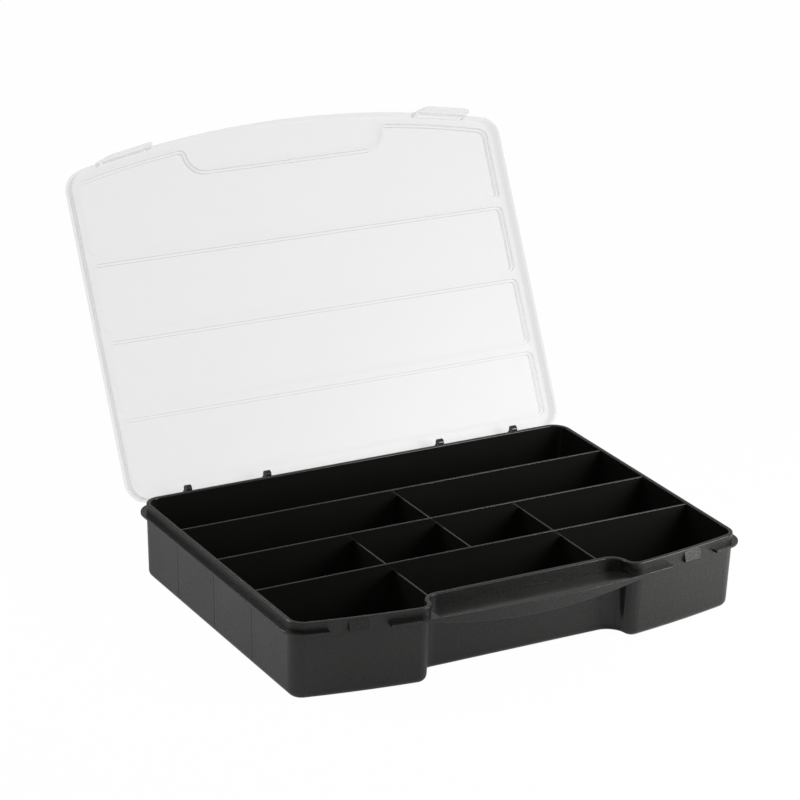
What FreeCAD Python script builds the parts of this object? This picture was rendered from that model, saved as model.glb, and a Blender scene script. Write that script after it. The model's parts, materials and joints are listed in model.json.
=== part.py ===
import FreeCAD, Part
import math
import os

# Compartment organizer box: a black tray moulded with fixed dividers, and a clear lid hinged along its back.
# Millimetres. +X is right, +Y is towards the hinged back, +Z is up. The origin is the middle of the tray's
# flat underside. The lid is modelled shut and then swung open, to where it leans back on its hinge ears.

# Tray walls, measured at the rim
tray_width = 291.8
tray_depth = 195.0           # from the back wall to the front corners' line
tray_height = 47.0
wall = 2.6
floor = 2.0
draft_angle = math.radians(2.0)
back_corner = 11.0           # plan radius
front_corner = 10.0          # plan radius
front_bow = 16.6             # how far the front bulges past its own corners
underside_round = 4.5
floor_round = 2.5
rim_round = 0.7
groove_width = 2.0           # sink lines down the side walls, one behind each long divider
groove_depth = 0.15

# Finger recess in the middle of the front
recess_straight = 111.0
recess_set_back = 1.6        # straight wall of the recess behind the front corners' line
recess_corner = 8.0          # hollow plan radius at each end of the straight
block_corner = 8.0           # plan radius where the recess turns out to the front

# Seat flange that the lid's lip stands on, and the carry handle that it widens into
seat_drop = 5.2              # from the rim down to the seat
seat_thickness = 1.6
seat_reach = 3.4             # past the wall at the rim
back_seat_reach = 2.6        # the same along the back, where the skirt swings over it
seat_round = 0.4
handle_reach = 4.6           # front of the handle past the bowed front
handle_depth = 7.9           # height of the grip flange at its middle
handle_flange = 2.0          # thickness of the grip flange
handle_round = 0.5           # along the lower edges of the grip flange
shelf_fall = 2.0             # how far the shelf falls from the bowed front back to the recess's wall

# Dividers
row_pitch = 47.2             # between the three long dividers
column_pitch = 56.0          # between the cross dividers
divider_top = 1.2            # thickness along the top edge
divider_foot = 1.7           # thickness at the floor
divider_round = 0.3
long_divider_drop = 0.5      # from the rim down to the long dividers' tops
cross_divider_drop = 4.5     # from the rim down to the cross dividers' tops

# Lid
lid_sheet = 1.6
lid_overhang = 2.8           # outer face of the skirt past the tray's wall at the rim
lid_gap = 2.2                # rim to the lid's underside
seat_gap = 0.3               # seat to the lid's lip
lid_round = 2.2              # along the top edge of the skirt
panel_step = 3.8             # how far each panel is sunk
panel_clearance = 1.2        # panel to the tray's inner wall
panel_back_margin = 4.0      # back panel to the tray's inner wall
panel_corner = 4.0           # plan radius
panel_round = 0.6
channel = 4.8                # clear width left over each long divider
lid_open_angle = math.radians(117.5)

# Hinge
hinge_reach = 3.4            # axis behind the back wall
hinge_drop = 5.2             # axis below the rim
hinge_inset = 59.4           # middle of each hinge from the side wall
hinge_span = 53.0            # between the middles of a hinge's two ears
ear_thickness = 3.4
ear_radius = 4.0             # about the axis
ear_tip_radius = 2.3
ear_tip_rise = 4.8           # middle of the rounded tip above the axis
ear_gusset = 13.0            # from the axis down to the foot of the ear
rod_radius = 1.5
rod_gap = 0.2
stop_gap = 0.3               # ear to the open lid
ear_slot_gap = 0.8           # ear to each side of its notch in the lid

# Latches and catches
latch_inset = 36.9           # middle of each latch from the side wall
latch_width = 33.0
latch_reach = 3.8            # outer face past the tray's wall at the rim
latch_drop = 17.0            # from the rim down to the flap's lower edge
latch_sheet = 1.5
latch_bend = 2.2             # outer radius where the tab turns down
latch_corner = 6.0           # radius of the flap's free corners
latch_flare = 0.4            # how far the lower edge stands out
flare_height = 6.5
fold_reach = 1.0             # fold line past the tray's wall at the rim
fold_gap = 0.2
latch_side_gap = 1.0         # tab to each side of its notch in the lid and in the seat
catch_width = 12.4
catch_reach = 1.9
catch_top_drop = 0.8         # from the rim down to the top of the wedge
catch_foot_drop = 7.2        # from the rim down to the wedge's flat foot
catch_round = 0.3
hook_gap = 0.4               # hook to the foot of the catch
hook_height = 2.0
hook_overlap = 1.1           # how far the hook reaches under the catch

overrun = 20.0               # how far cutting shapes run past what they cut

# Levels and lines that follow from the sizes
half_width = tray_width / 2
half_depth = tray_depth / 2
recess_y = recess_set_back - half_depth
seat_top = tray_height - seat_drop
seat_foot = seat_top - seat_thickness
lid_under = tray_height + lid_gap
lid_top = lid_under + lid_sheet
lip_level = seat_top + seat_gap
skirt_inside = lid_overhang - lid_sheet
hinge_place = half_width - hinge_inset
hinge_y = half_depth + hinge_reach
hinge_z = tray_height - hinge_drop
row_places = (row_pitch, 0.0, -row_pitch)
bow_radius = (half_width ** 2 + front_bow ** 2) / (2 * front_bow)
bow_middle = FreeCAD.Vector(0, bow_radius - front_bow - half_depth, 0)
latch_place = half_width - latch_inset
latch_turn = math.asin(latch_place / bow_radius)
edge_tolerance = wall / 1000
X_AXIS = FreeCAD.Vector(1, 0, 0)
Z_AXIS = FreeCAD.Vector(0, 0, 1)


def vec(x, y, z=0.0):
    return FreeCAD.Vector(x, y, z)


def box(low, high):
    """A box between two corners."""
    size = high.sub(low)
    return Part.makeBox(size.x, size.y, size.z, low)


def mirrored(shape):
    """The same shape on the other side of the box."""
    return shape.mirror(vec(0, 0), X_AXIS)


def arc(middle, radius, start, end):
    """The shorter arc about a centre, from the direction of one point to the direction of another."""
    first = start.sub(middle).normalize()
    last = end.sub(middle).normalize()
    half_way = first.add(last).normalize()
    points = [middle.add(direction.multiply(radius)) for direction in (first, half_way, last)]
    return Part.Arc(*points).toShape()


def line(start, end):
    return Part.LineSegment(start, end).toShape()


def on_circle(middle, radius, towards):
    """The point of a circle that lies towards another point."""
    return middle.add(towards.sub(middle).normalize().multiply(radius))


def circles_meet(first, first_radius, second, second_radius):
    """The point to the right where two circles in plan cross."""
    across = second.sub(first)
    distance = across.Length
    along = (first_radius ** 2 - second_radius ** 2 + distance ** 2) / (2 * distance)
    aside = math.sqrt(first_radius ** 2 - along ** 2)
    across.normalize()
    foot = first.add(FreeCAD.Vector(across).multiply(along))
    square = vec(-across.y, across.x).multiply(aside)
    return max((foot.add(square), foot.sub(square)), key=lambda point: point.x)


def flip(point):
    return vec(-point.x, point.y, point.z)


def front_corner_middle():
    """Centre of the corner arc that joins the right wall to the bowed front."""
    x = half_width - front_corner
    return vec(x, bow_middle.y - math.sqrt((bow_radius - front_corner) ** 2 - x ** 2))


def recess_turns():
    """Centres of the two arcs at the recess's right end: the hollow one, and the block's corner."""
    hollow = vec(recess_straight / 2, recess_y - recess_corner)
    return hollow, circles_meet(bow_middle, bow_radius - block_corner, hollow, block_corner + recess_corner)


def outline(inset, level, recessed=True):
    """The tray's plan, moved inwards by inset: with the finger recess, or with the front bowed right across."""
    corner = front_corner_middle()
    back = vec(half_width - back_corner, half_depth - back_corner)
    bow = bow_radius - inset
    side_x = half_width - inset
    bow_end = on_circle(bow_middle, bow, corner)
    side_low = vec(side_x, corner.y)
    side_high = vec(side_x, back.y)
    back_end = vec(back.x, half_depth - inset)
    right = [
        arc(corner, front_corner - inset, bow_end, side_low),
        line(side_low, side_high),
        arc(back, back_corner - inset, side_high, back_end),
    ]
    if recessed:
        hollow, block = recess_turns()
        straight_end = vec(hollow.x, recess_y + inset)
        turn = on_circle(hollow, recess_corner + inset, block)
        bow_start = on_circle(bow_middle, bow, block)
        right = [
            arc(hollow, recess_corner + inset, straight_end, turn),
            arc(block, block_corner - inset, turn, bow_start),
            arc(bow_middle, bow, bow_start, bow_end),
        ] + right
        front = line(flip(straight_end), straight_end)
    else:
        front = arc(bow_middle, bow, flip(bow_end), bow_end)
    left = [mirrored(edge) for edge in reversed(right)]
    wire = Part.Wire(Part.__sortEdges__([front] + right + [line(back_end, flip(back_end))] + left))
    wire.translate(vec(0, 0, level))
    return wire


def prism(wire, height):
    return Part.Face(wire).extrude(vec(0, 0, height))


def ring_edges(shape, level):
    """The edges of a shape that lie at one level."""
    def lies_there(edge):
        limits = edge.BoundBox
        return abs(limits.ZMin - level) < edge_tolerance and abs(limits.ZMax - level) < edge_tolerance
    return [edge for edge in shape.Edges if lies_there(edge)]


def drafted(low_level, high_level, thickness):
    """The tray's plan as a block whose walls lean with the draft, set in by a thickness."""
    sections = []
    for level in (low_level, high_level):
        lean = (tray_height - level) * math.tan(draft_angle)
        sections.append(outline(lean + thickness, level))
    return Part.makeLoft(sections, True, True)


def tray_block():
    block = drafted(0, tray_height, 0)
    return block.makeFillet(underside_round, ring_edges(block, 0))


def tray_cavity():
    """The hollow of the tray, a little taller than the rim."""
    hollow = drafted(floor, tray_height + wall, wall)
    return hollow.makeFillet(floor_round, ring_edges(hollow, floor))


def at_latch(shape, side):
    """Moves a shape from the latch's own frame to the right or left latch.

    The frame's origin is on the tray's front wall at the rim, with X along the wall and -Y straight out of it.
    """
    placed = shape.copy()
    placed.rotate(vec(0, 0), Z_AXIS, math.degrees(latch_turn) * side)
    spot = bow_middle.add(vec(side * math.sin(latch_turn), -math.cos(latch_turn)).multiply(bow_radius))
    placed.translate(vec(spot.x, spot.y, tray_height))
    return placed


def latch_gap(reach_start):
    """The room that a latch needs in the seat and in the lid, in the latch's frame."""
    half = latch_width / 2 + latch_side_gap
    return box(vec(-half, -latch_reach - overrun, -overrun), vec(half, -reach_start, overrun))


def seat_flange(block, reach):
    """The seat right round the tray, broken at the latches and at the ears: the ledge and the handle's shelf."""
    flange = prism(outline(-reach, seat_foot, False), seat_thickness)
    edges = ring_edges(flange, seat_top) + ring_edges(flange, seat_foot)
    flange = flange.makeFillet(seat_round, edges).cut(block)
    for side in (1, -1):
        flange = flange.cut(at_latch(latch_gap(-overrun), side))
    for place in ear_places():
        flange = flange.cut(ear_prism(place))
    for room in hinge_room():
        flange = flange.cut(room)
    return flange


def hinge_room():
    """Boxes that trim the seat along the back for the lid's skirt, and further in for each hinge rod."""
    low = vec(-tray_width, half_depth + back_seat_reach, 0)
    rooms = [box(low, vec(tray_width, tray_depth, tray_height))]
    rod_room = half_depth + hinge_reach - rod_radius - seat_gap
    for side in (1, -1):
        half = (hinge_span + ear_thickness) / 2 + ear_slot_gap
        low = vec(side * hinge_place - half, rod_room, 0)
        rooms.append(box(low, vec(side * hinge_place + half, tray_depth, tray_height)))
    return rooms


def is_middle(shape):
    return abs(shape.CenterOfMass.x) < wall


def is_shelf(solid):
    return solid.BoundBox.YMax < 0 and is_middle(solid)


def side_grooves():
    """Rods that cut the shallow upright lines in the side walls."""
    rods = []
    lean = tray_height * math.tan(draft_angle)
    radius = (groove_depth ** 2 + (groove_width / 2) ** 2) / (2 * groove_depth)
    reach = radius - groove_depth
    for y in row_places:
        foot = vec(half_width - lean + reach, y, 0)
        head = vec(half_width + reach, y, tray_height)
        lean_way = head.sub(foot)
        rod = Part.makeCylinder(radius, lean_way.Length * seat_foot / tray_height, foot, lean_way)
        rods += [rod, mirrored(rod)]
    return rods


def tray_shell(block, cavity):
    shell = block
    for rod in side_grooves():
        shell = shell.cut(rod)
    for piece in seat_flange(block, seat_reach).Solids:
        if not is_shelf(piece):
            shell = shell.fuse(piece)
    shell = shell.removeSplitter().cut(cavity)
    return shell.makeFillet(rim_round, ring_edges(shell, tray_height))


def sloped(shelf, block):
    """The handle's shelf, with its middle falling back towards the recess's wall."""
    start = -half_depth - front_bow
    end = recess_y + wall
    fall = shelf_fall * (end - start) / (recess_y - start)
    half = recess_straight / 2 + recess_corner
    corners = [
        vec(-half, start, seat_top),
        vec(-half, end, seat_top - fall),
        vec(-half, end, seat_foot - fall),
        vec(-half, start, seat_foot),
    ]
    plate = Part.Face(Part.makePolygon(corners + corners[:1])).extrude(vec(2 * half, 0, 0)).cut(block)
    room = box(vec(-half, start, 0), vec(half, 0, tray_height))
    return shelf.cut(room).fuse(plate)


def carry_handle(block):
    """The shelf over the finger recess with the grip flange along its front, deepest in the middle."""
    shelf = next(piece for piece in seat_flange(block, handle_reach).Solids if is_shelf(piece))
    reach = recess_turns()[1].x
    middle = vec(0, 0, seat_top - handle_depth)
    ends = (vec(-reach, 0, seat_foot), vec(reach, 0, seat_foot))
    rise = vec(0, 0, seat_thickness / 2)
    crescent = Part.Wire([
        Part.Arc(ends[0], middle, ends[1]).toShape(),
        line(ends[1], ends[1].add(rise)),
        line(ends[1].add(rise), ends[0].add(rise)),
        line(ends[0].add(rise), ends[0]),
    ])
    front_view = Part.Face(crescent).extrude(vec(0, -tray_depth, 0))
    ring = prism(outline(-handle_reach, middle.z, False), handle_depth)
    ring = ring.cut(prism(outline(handle_flange - handle_reach, middle.z, False), handle_depth))
    flange = ring.common(front_view).removeSplitter()
    lower = [edge for edge in flange.Edges if is_middle(edge) and edge.CenterOfMass.z < seat_foot]
    flange = flange.makeFillet(handle_round, lower)
    for side in (1, -1):
        flange = flange.cut(at_latch(latch_gap(-overrun), side))
    return sloped(shelf, block).fuse(flange).removeSplitter()


def upright(top_level):
    """Cross section of a divider: thin at its rounded top, thicker at the floor. Drawn across X."""
    corners = [
        vec(-divider_foot / 2, 0, floor),
        vec(divider_foot / 2, 0, floor),
        vec(divider_top / 2, 0, top_level),
        vec(-divider_top / 2, 0, top_level),
    ]
    plate = Part.Face(Part.makePolygon(corners + corners[:1])).extrude(vec(0, tray_width, 0))
    plate = plate.makeFillet(divider_round, ring_edges_along(plate, top_level))
    plate.translate(vec(0, -tray_width / 2, 0))
    return plate


def ring_edges_along(plate, level):
    """The two long top edges of a plate."""
    return [edge for edge in ring_edges(plate, level) if edge.Length > tray_width / 2]


def long_dividers(cavity):
    plate = upright(tray_height - long_divider_drop)
    plate.rotate(vec(0, 0), Z_AXIS, 90)
    names = ("long_divider_back", "long_divider_middle", "long_divider_front")
    dividers = {}
    for name, y in zip(names, row_places):
        placed = plate.copy()
        placed.translate(vec(0, y))
        dividers[name] = placed.common(cavity)
    return dividers


def cross_dividers(cavity, long_plates):
    """Cross dividers by row: one in the second row, three in the third and two in the front row."""
    back, middle, front = row_places
    rows = {
        "second_row": (middle, back, {"middle": 0}),
        "third_row": (front, middle, {"left": -column_pitch, "middle": 0, "right": column_pitch}),
        "front_row": (-tray_depth, front, {"left": -column_pitch, "right": column_pitch}),
    }
    plate = upright(tray_height - cross_divider_drop)
    dividers = {}
    for row, (low, high, columns) in rows.items():
        stretch = box(vec(-tray_width, low, 0), vec(tray_width, high, tray_height))
        for column, x in columns.items():
            placed = plate.copy()
            placed.translate(vec(x, 0))
            piece = placed.common(cavity).common(stretch)
            for long_plate in long_plates:
                piece = piece.cut(long_plate)
            dividers[f"cross_divider_{row}_{column}"] = piece
    return dividers


def ear_places():
    """Middles of the four hinge ears, left to right."""
    near = hinge_place - hinge_span / 2
    far = hinge_place + hinge_span / 2
    return (-far, -near, near, far)


def swung(y, z):
    """Where a point of the shut lid's section, taken from the hinge axis, lies when the lid is open."""
    turn = lid_open_angle
    return (y * math.cos(turn) + z * math.sin(turn), z * math.cos(turn) - y * math.sin(turn))


def ear_prism(place):
    """A hinge ear: round about the axis, with a tip above it and a nose behind that the open lid rests on."""
    notch_end = skirt_inside - hinge_reach
    inner = swung(notch_end + stop_gap, lid_under - hinge_z)
    outer = swung(notch_end + stop_gap, lid_top - hinge_z)
    start = vec(place - ear_thickness / 2, hinge_y, hinge_z)
    disc = Part.makeCylinder(ear_radius, ear_thickness, start, X_AXIS)
    tip = Part.makeCylinder(ear_tip_radius, ear_thickness, start.add(vec(0, 0, ear_tip_rise)), X_AXIS)
    stem = box(start.sub(vec(0, ear_tip_radius)), start.add(vec(ear_thickness, ear_tip_radius, ear_tip_rise)))
    gusset = [
        (-hinge_reach - wall, 0),
        (0, 0),
        inner,
        outer,
        (outer[0], outer[1] - ear_thickness / 2),
        (0, -ear_gusset),
        (-hinge_reach - wall, -ear_gusset),
    ]
    corners = [start.add(vec(0, y, z)) for y, z in gusset]
    plate = Part.Face(Part.makePolygon(corners + corners[:1])).extrude(vec(ear_thickness, 0, 0))
    return disc.fuse([stem, tip, plate]).removeSplitter()


def hinge_ears(block):
    names = ("hinge_ear_left_outer", "hinge_ear_left_inner", "hinge_ear_right_inner", "hinge_ear_right_outer")
    ears = {}
    for name, place in zip(names, ear_places()):
        start = vec(place - ear_thickness, hinge_y, hinge_z)
        bore = Part.makeCylinder(rod_radius + rod_gap, 2 * ear_thickness, start, X_AXIS)
        ears[name] = ear_prism(place).cut(block).cut(bore)
    return ears


def catch(block, side):
    """A wedge on the front wall, with the flat foot that the latch's hook holds."""
    corners = [
        vec(-catch_width / 2, wall, -catch_top_drop),
        vec(-catch_width / 2, 0, -catch_top_drop),
        vec(-catch_width / 2, -catch_reach, -catch_foot_drop),
        vec(-catch_width / 2, wall, -catch_foot_drop),
    ]
    wedge = Part.Face(Part.makePolygon(corners + corners[:1])).extrude(vec(catch_width, 0, 0))
    outer = [edge for edge in wedge.Edges if edge.BoundBox.YMin < -catch_reach + edge_tolerance
             and edge.BoundBox.YMax < edge_tolerance]
    return at_latch(wedge.makeFillet(catch_round, outer), side).cut(block)


def panel_block(row, inset, low_level, high_level):
    """One sunk panel of the lid as a block, set in from the tray's wall and from the dividers by inset."""
    back, middle, front = row_places
    back_end = half_depth - wall - panel_back_margin + channel / 2
    limits = ((back, back_end), (middle, back), (front, middle), (-tray_depth, front))
    low, high = limits[row]
    side = channel / 2 + inset
    plan = prism(outline(wall + panel_clearance + inset, low_level), high_level - low_level)
    stretch = box(vec(-tray_width, low + side, low_level), vec(tray_width, high - side, high_level))
    block = plan.common(stretch)
    cut_lines = (low + side, high - side)
    sharp = [edge for edge in block.Edges if is_upright_at(edge, cut_lines)]
    return block.makeFillet(panel_corner - inset, sharp)


def is_upright_at(edge, lines):
    limits = edge.BoundBox
    upright_edge = limits.XLength < edge_tolerance and limits.YLength < edge_tolerance
    return upright_edge and any(abs(limits.YMin - y) < edge_tolerance for y in lines)


def lid_shell():
    """The lid, shut: a flat sheet with a skirt, and a sunk panel over each row of compartments."""
    shell = prism(outline(-lid_overhang, lip_level, False), lid_top - lip_level)
    shell = shell.makeFillet(lid_round, ring_edges(shell, lid_top))
    hollow = prism(outline(-skirt_inside, lip_level - overrun, False), lid_under - lip_level + overrun)
    hollow = hollow.makeFillet(lid_round - lid_sheet, ring_edges(hollow, lid_under))
    shell = shell.cut(hollow)
    panel_under = lid_under - panel_step
    for row in range(len(row_places) + 1):
        boss = panel_block(row, 0, panel_under, lid_under + lid_sheet / 2)
        boss = boss.makeFillet(panel_round, ring_edges(boss, panel_under))
        shell = shell.fuse(boss)
    for row in range(len(row_places) + 1):
        pocket = panel_block(row, lid_sheet, panel_under + lid_sheet, lid_top + lid_sheet)
        pocket = pocket.makeFillet(panel_round, ring_edges(pocket, panel_under + lid_sheet))
        shell = shell.cut(pocket)
    for side in (1, -1):
        shell = shell.cut(at_latch(latch_gap(fold_reach), side))
    half = ear_thickness / 2 + ear_slot_gap
    for place in ear_places():
        low = vec(place - half, half_depth + skirt_inside, 0)
        shell = shell.cut(box(low, vec(place + half, half_depth + overrun, tray_height + overrun)))
    return shell.removeSplitter()


def hinge_bar(side, lid):
    """The lid's hinge rod along the foot of its skirt, through both ears."""
    length = hinge_span + ear_thickness
    start = vec(side * hinge_place - length / 2, hinge_y, hinge_z)
    return Part.makeCylinder(rod_radius, length, start, X_AXIS).cut(lid)


def latch(side):
    """A flap at the lid's front that folds outwards, with a hook inside that snaps under the catch."""
    half = latch_width / 2
    start = fold_reach + fold_gap
    top = lid_top - tray_height
    under = top - latch_sheet
    inside = latch_reach - latch_sheet
    bend = latch_bend - latch_sheet
    hook_top = -catch_foot_drop - hook_gap
    hook_tip = catch_reach - hook_overlap
    slant = math.sqrt(0.5)

    def spot(out, z):
        return vec(-half, -out, z)

    def bend_point(radius):
        return spot(latch_reach - latch_bend + radius * slant, top - latch_bend + radius * slant)

    flare = latch_reach + latch_flare
    turns = [
        spot(latch_reach, top - latch_bend),
        spot(latch_reach, -latch_drop + flare_height),
        spot(flare, -latch_drop),
        spot(flare - latch_sheet, -latch_drop),
        spot(inside, -latch_drop + flare_height),
        spot(inside, hook_top - hook_height),
        spot(hook_tip, hook_top - hook_height / 2),
        spot(hook_tip, hook_top),
        spot(inside, hook_top),
        spot(inside, top - latch_bend),
    ]
    section = [
        line(spot(start, top), spot(latch_reach - latch_bend, top)),
        Part.Arc(spot(latch_reach - latch_bend, top), bend_point(latch_bend), turns[0]).toShape(),
        *(line(first, second) for first, second in zip(turns, turns[1:])),
        Part.Arc(turns[-1], bend_point(bend), spot(latch_reach - latch_bend, under)).toShape(),
        line(spot(latch_reach - latch_bend, under), spot(start, under)),
        line(spot(start, under), spot(start, top)),
    ]
    flap = Part.Face(Part.Wire(section)).extrude(vec(latch_width, 0, 0))
    front = box(vec(-half, -latch_reach - overrun, -latch_drop), vec(half, overrun, top))
    lower = [edge for edge in front.Edges if is_lower_side_edge(edge, half)]
    flap = flap.common(front.makeFillet(latch_corner, lower))
    return at_latch(flap, side)


def is_lower_side_edge(edge, half):
    limits = edge.BoundBox
    at_side = limits.XLength < edge_tolerance and abs(abs(limits.XMin) - half) < edge_tolerance
    return at_side and abs(limits.ZMax + latch_drop) < edge_tolerance


def opened(shape):
    """A piece of the shut lid, swung open about the hinge."""
    swung_shape = shape.copy()
    swung_shape.rotate(vec(0, hinge_y, hinge_z), X_AXIS, -math.degrees(lid_open_angle))
    return swung_shape


def build():
    block = tray_block()
    cavity = tray_cavity()
    nodes = {"tray_shell": tray_shell(block, cavity), "carry_handle": carry_handle(block)}
    plates = long_dividers(cavity)
    nodes.update(plates)
    nodes.update(cross_dividers(cavity, list(plates.values())))
    nodes.update(hinge_ears(block))
    lid = lid_shell()
    nodes["lid_shell"] = opened(lid)
    for name, side in (("left", -1), ("right", 1)):
        nodes[f"catch_{name}"] = catch(block, side)
        nodes[f"latch_{name}"] = opened(latch(side))
        nodes[f"hinge_bar_{name}"] = opened(hinge_bar(side, lid))
    return nodes


os.makedirs("parts", exist_ok=True)
for node, shape in build().items():
    print(node, len(shape.Solids), shape.isValid(), round(shape.Volume))
    shape.exportStep(f"parts/{node}.step")
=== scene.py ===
import json
import math
import bpy
from mathutils import Matrix, Vector


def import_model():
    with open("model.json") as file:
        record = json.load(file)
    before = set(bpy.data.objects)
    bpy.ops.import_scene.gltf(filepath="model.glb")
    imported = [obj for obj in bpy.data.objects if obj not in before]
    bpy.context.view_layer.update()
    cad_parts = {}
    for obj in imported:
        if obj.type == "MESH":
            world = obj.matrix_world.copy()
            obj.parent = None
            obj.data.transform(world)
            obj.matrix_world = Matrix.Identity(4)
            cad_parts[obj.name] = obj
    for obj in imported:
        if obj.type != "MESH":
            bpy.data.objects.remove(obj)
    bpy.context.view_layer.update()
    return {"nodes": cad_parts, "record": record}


# Looks of the compartment organizer box: black grained tray, milky clear lid, plain white studio. Metres.
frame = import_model()

# Camera, at the photograph's viewing angle
CAMERA_AZIMUTH = math.radians(-29.88)     # from straight ahead, towards the left
CAMERA_ELEVATION = math.radians(20.90)
CAMERA_ROLL = math.radians(1.66)
CAMERA_DISTANCE = 2.155
CAMERA_AIM = Vector((0.1083, 0.2361, 0.020))
CAMERA_LENS_MM = 146.25
SENSOR_MM = 36.0
CAMERA_REACH = 48.0                       # past the floor's far corner

# Floor and surroundings
FLOOR_SIZE = 12.0
FLOOR_PALE = (0.90, 0.90, 0.90, 1.0)
FLOOR_ROUGHNESS = 0.9
WHITE = (1.0, 1.0, 1.0, 1.0)
WHITE_STRENGTH = 1.0
FLOOR_WHITE_SHARE = 0.985                 # of plain white in the floor that the camera sees
WORLD_WHITE_SHARE = 1.0                   # of plain white in the surroundings that the camera sees
MIRRORED_WHITE_SHARE = 0.20               # of plain white in what the plastic mirrors of both
HORIZON_STRENGTH = 0.12                   # light that falls on the box from level directions
ZENITH_STRENGTH = 0.45                    # and from above
ZENITH_RISE = 0.7                         # height of a direction, of 1, from which the light is the zenith's

# Lamps
KEY_PLACE = Vector((0.32, -0.30, 0.20))   # soft box near the front right corner
KEY_AIM = Vector((0.0, 0.03, 0.06))
KEY_SIZE = 0.24
KEY_POWER = 1.6
KEY_SPREAD = math.radians(180.0)
SIDE_PLACE = Vector((-0.50, 0.30, 0.35))  # soft box with a grid, aimed at the floor on the left
SIDE_AIM = Vector((-0.19, -0.02, 0.0))
SIDE_SIZE = 0.3
SIDE_POWER = 0.19
SIDE_SPREAD = math.radians(50.0)

# Black plastic of the tray and its dividers
TRAY_BLACK = (0.0050, 0.0050, 0.0046, 1.0)
TRAY_BLACK_WORN = (0.0125, 0.0127, 0.0108, 1.0)
SMOOTH_WORN_SHARE = 0.7                   # of the worn black in the smooth faces' colour
SMOOTH_ROUGHNESS = 0.20                   # ledge, shelf, dividers and inside
GRAIN_ROUGHNESS = 0.36                    # outer walls
TRAY_GRAIN_SHARE = 1.0
DIVIDER_GRAIN_SHARE = 0.0
UPRIGHT_LIMIT = 0.5                       # rise of the normal, below which a face counts as upright
GRAIN_SCALE = 900.0                       # cells per metre, here and below
GRAIN_DETAIL = 3.0
GRAIN_FINENESS = 0.65
GRAIN_PITS = 0.38                         # noise at which the grain is all dark
GRAIN_TIPS = 0.62                         # and at which it is all worn
GRAIN_BUMP = 0.6
GRAIN_DEPTH = 0.0005
SMOOTH_GRAIN_SHARE = 0.06                 # of the grain's depth that the smooth faces keep
FLOW_SCALE = 28.0
FLOW_ROUGHNESS = 0.03                     # more or less roughness in the flow marks

# Milky clear plastic of the lid, its rods and latches
LID_MILKY = (0.80, 0.805, 0.805, 1.0)
LID_ALPHA = 0.185
SATIN_SCALE = 160.0
SATIN_ROUGHNESS = (0.28, 0.33)
RIPPLE_SCALE = 22.0
RIPPLE_BUMP = 0.12
RIPPLE_DEPTH = 0.002

PLASTIC_IOR = 1.49
NOISE_DETAIL = 2.0
NOISE_FINENESS = 0.5
NOISE_LOW = 0.3                           # usual range of a noise's values
NOISE_HIGH = 0.7

# Sockets of a colour Mix node, which share their names with its other kinds
MIX_FIRST = 6
MIX_SECOND = 7
MIX_RESULT = 2


def new_material(name):
    material = bpy.data.materials.new(name)
    material.use_nodes = True
    return material, material.node_tree, material.node_tree.nodes["Principled BSDF"]


def add(tree, kind, inputs=None, **settings):
    """A new node, with its settings and the values of its named inputs."""
    node = tree.nodes.new(kind)
    for key, value in settings.items():
        setattr(node, key, value)
    for key, value in (inputs or {}).items():
        node.inputs[key].default_value = value
    return node


def maths(tree, operation, *values):
    """A Math node's result, from links and plain numbers."""
    node = add(tree, "ShaderNodeMath", operation=operation)
    for socket, value in zip(node.inputs, values):
        if isinstance(value, bpy.types.NodeSocket):
            tree.links.new(value, socket)
        else:
            socket.default_value = value
    return node.outputs[0]


def noise(tree, coordinates, scale, detail=NOISE_DETAIL, fineness=NOISE_FINENESS):
    node = add(tree, "ShaderNodeTexNoise", {"Scale": scale, "Detail": detail, "Roughness": fineness})
    tree.links.new(coordinates, node.inputs["Vector"])
    return node.outputs["Fac"]


def mapped(tree, value, low, high, start=NOISE_LOW, end=NOISE_HIGH):
    """A value from start to end, mapped to the range from low to high."""
    limits = {"From Min": start, "From Max": end, "To Min": low, "To Max": high}
    node = add(tree, "ShaderNodeMapRange", limits)
    tree.links.new(value, node.inputs["Value"])
    return node.outputs["Result"]


def mixed_colour(tree, factor, first, second):
    node = add(tree, "ShaderNodeMix", data_type="RGBA")
    node.inputs[MIX_FIRST].default_value = first
    node.inputs[MIX_SECOND].default_value = second
    tree.links.new(factor, node.inputs["Factor"])
    return node.outputs[MIX_RESULT]


def bumped(tree, height, strength, distance):
    node = add(tree, "ShaderNodeBump", {"Strength": strength, "Distance": distance})
    tree.links.new(height, node.inputs["Height"])
    return node.outputs["Normal"]


def outer_wall(tree, texture_coordinates):
    """1 on upright faces that look away from the middle of the box, else 0."""
    away = add(tree, "ShaderNodeVectorMath", operation="DOT_PRODUCT")
    level = add(tree, "ShaderNodeVectorMath", {1: (1.0, 1.0, 0.0)}, operation="MULTIPLY")
    split = add(tree, "ShaderNodeSeparateXYZ")
    tree.links.new(texture_coordinates.outputs["Object"], level.inputs[0])
    tree.links.new(level.outputs["Vector"], away.inputs[0])
    tree.links.new(texture_coordinates.outputs["Normal"], away.inputs[1])
    tree.links.new(texture_coordinates.outputs["Normal"], split.inputs["Vector"])
    outwards = maths(tree, "GREATER_THAN", away.outputs["Value"], 0.0)
    upright = maths(tree, "LESS_THAN", maths(tree, "ABSOLUTE", split.outputs["Z"]), UPRIGHT_LIMIT)
    return maths(tree, "MULTIPLY", outwards, upright)


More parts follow.
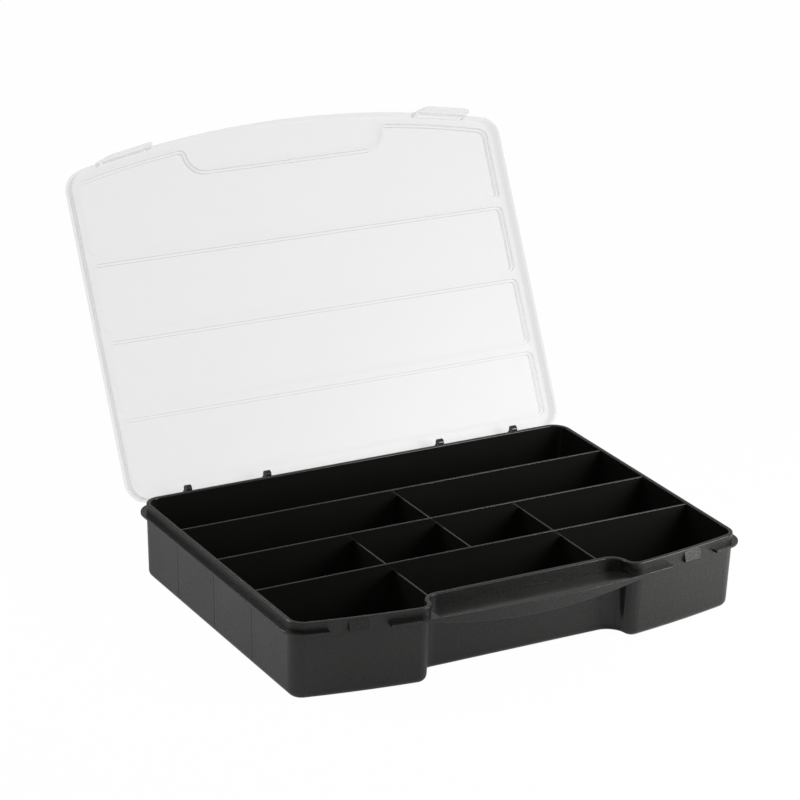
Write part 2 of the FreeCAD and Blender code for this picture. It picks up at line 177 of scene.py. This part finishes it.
def black_plastic(name, grain_share):
    """Black moulded plastic with faint flow marks, and a share of spark-eroded grain on the outer walls."""
    material, tree, surface = new_material(name)
    coordinates = add(tree, "ShaderNodeTexCoord")
    place = coordinates.outputs["Object"]
    wall = maths(tree, "MULTIPLY", outer_wall(tree, coordinates), grain_share)
    grain = noise(tree, place, GRAIN_SCALE, GRAIN_DETAIL, GRAIN_FINENESS)
    flow = noise(tree, place, FLOW_SCALE)
    base = mapped(tree, wall, SMOOTH_ROUGHNESS, GRAIN_ROUGHNESS, 0.0, 1.0)
    roughness = maths(tree, "ADD", base, mapped(tree, flow, -FLOW_ROUGHNESS, FLOW_ROUGHNESS))
    grain_height = maths(tree, "MULTIPLY", grain, mapped(tree, wall, SMOOTH_GRAIN_SHARE, 1.0, 0.0, 1.0))
    worn = add(tree, "ShaderNodeMix", {"A": SMOOTH_WORN_SHARE})
    tree.links.new(wall, worn.inputs["Factor"])
    tree.links.new(mapped(tree, grain, 0.0, 1.0, GRAIN_PITS, GRAIN_TIPS), worn.inputs["B"])
    colour = mixed_colour(tree, worn.outputs["Result"], TRAY_BLACK, TRAY_BLACK_WORN)
    tree.links.new(colour, surface.inputs["Base Color"])
    tree.links.new(roughness, surface.inputs["Roughness"])
    tree.links.new(bumped(tree, grain_height, GRAIN_BUMP, GRAIN_DEPTH), surface.inputs["Normal"])
    surface.inputs["IOR"].default_value = PLASTIC_IOR
    return material


def lid_plastic():
    """Milky clear plastic with a satin face and a faint moulding ripple."""
    material, tree, surface = new_material("lid_plastic")
    place = add(tree, "ShaderNodeTexCoord").outputs["Object"]
    ripple = noise(tree, place, RIPPLE_SCALE)
    satin = noise(tree, place, SATIN_SCALE)
    surface.inputs["Base Color"].default_value = LID_MILKY
    surface.inputs["Alpha"].default_value = LID_ALPHA
    surface.inputs["IOR"].default_value = PLASTIC_IOR
    tree.links.new(mapped(tree, satin, *SATIN_ROUGHNESS), surface.inputs["Roughness"])
    tree.links.new(bumped(tree, ripple, RIPPLE_BUMP, RIPPLE_DEPTH), surface.inputs["Normal"])
    return material


def dress():
    """Gives every CAD node the material of its record slot, and the dividers the tray's without grain."""
    finishes = {"tray_plastic": black_plastic("tray_plastic", TRAY_GRAIN_SHARE), "lid_plastic": lid_plastic()}
    smooth = black_plastic("divider_plastic", DIVIDER_GRAIN_SHARE)
    for entry in frame["record"]["subparts"]:
        node = frame["nodes"][entry["node"]]
        finish = smooth if "divider" in entry["node"] else finishes[entry["material_slot"]]
        node.data.materials.clear()
        node.data.materials.append(finish)


def white_share(tree, seen_share):
    """Share of the plain white that a ray meets: seen by the camera or through clear pieces, or mirrored."""
    path = add(tree, "ShaderNodeLightPath")
    seen = maths(tree, "MAXIMUM", path.outputs["Is Camera Ray"], path.outputs["Is Transmission Ray"])
    mirrored = maths(tree, "MULTIPLY", path.outputs["Is Glossy Ray"], MIRRORED_WHITE_SHARE)
    return maths(tree, "MAXIMUM", maths(tree, "MULTIPLY", seen, seen_share), mirrored)


def floor():
    bpy.ops.mesh.primitive_plane_add(size=FLOOR_SIZE)
    plane = bpy.context.object
    plane.name = "floor"
    material, tree, surface = new_material("floor_white")
    surface.inputs["Base Color"].default_value = FLOOR_PALE
    surface.inputs["Roughness"].default_value = FLOOR_ROUGHNESS
    glow = add(tree, "ShaderNodeEmission", {"Color": WHITE, "Strength": WHITE_STRENGTH})
    mix = add(tree, "ShaderNodeMixShader")
    tree.links.new(white_share(tree, FLOOR_WHITE_SHARE), mix.inputs["Fac"])
    tree.links.new(surface.outputs["BSDF"], mix.inputs[1])
    tree.links.new(glow.outputs["Emission"], mix.inputs[2])
    tree.links.new(mix.outputs["Shader"], tree.nodes["Material Output"].inputs["Surface"])
    plane.data.materials.append(material)


def world():
    surroundings = bpy.data.worlds.new("studio")
    bpy.context.scene.world = surroundings
    surroundings.use_nodes = True
    tree = surroundings.node_tree
    background = tree.nodes["Background"]
    background.inputs["Color"].default_value = WHITE
    direction = add(tree, "ShaderNodeSeparateXYZ")
    tree.links.new(add(tree, "ShaderNodeTexCoord").outputs["Generated"], direction.inputs["Vector"])
    light = mapped(tree, direction.outputs["Z"], HORIZON_STRENGTH, ZENITH_STRENGTH, 0.0, ZENITH_RISE)
    strength = add(tree, "ShaderNodeMix", {"B": WHITE_STRENGTH})
    tree.links.new(white_share(tree, WORLD_WHITE_SHARE), strength.inputs["Factor"])
    tree.links.new(light, strength.inputs["A"])
    tree.links.new(strength.outputs["Result"], background.inputs["Strength"])


def soft_box(name, place, aim, size, power, spread):
    data = bpy.data.lights.new(name, "AREA")
    data.shape = "SQUARE"
    data.size = size
    data.energy = power
    data.spread = spread
    lamp = bpy.data.objects.new(name, data)
    lamp.location = place
    lamp.visible_camera = False
    lamp.rotation_euler = (aim - place).to_track_quat("-Z", "Y").to_euler()
    bpy.context.scene.collection.objects.link(lamp)


def camera():
    data = bpy.data.cameras.new("camera")
    data.lens = CAMERA_LENS_MM
    data.sensor_width = SENSOR_MM
    data.clip_end = CAMERA_REACH
    rig = bpy.data.objects.new("camera", data)
    bpy.context.scene.collection.objects.link(rig)
    level = math.cos(CAMERA_ELEVATION)
    back = Vector((math.sin(CAMERA_AZIMUTH) * level, -math.cos(CAMERA_AZIMUTH) * level,
                   math.sin(CAMERA_ELEVATION)))
    right = Vector((0, 0, 1)).cross(back).normalized()
    up = back.cross(right)
    turned_right = right * math.cos(CAMERA_ROLL) + up * math.sin(CAMERA_ROLL)
    turned_up = up * math.cos(CAMERA_ROLL) - right * math.sin(CAMERA_ROLL)
    axes = Matrix((turned_right, turned_up, back)).transposed().to_4x4()
    rig.matrix_world = Matrix.Translation(CAMERA_AIM + back * CAMERA_DISTANCE) @ axes
    bpy.context.scene.camera = rig


bpy.context.scene.view_settings.view_transform = "Standard"
dress()
floor()
world()
soft_box("key", KEY_PLACE, KEY_AIM, KEY_SIZE, KEY_POWER, KEY_SPREAD)
soft_box("side", SIDE_PLACE, SIDE_AIM, SIDE_SIZE, SIDE_POWER, SIDE_SPREAD)
camera()
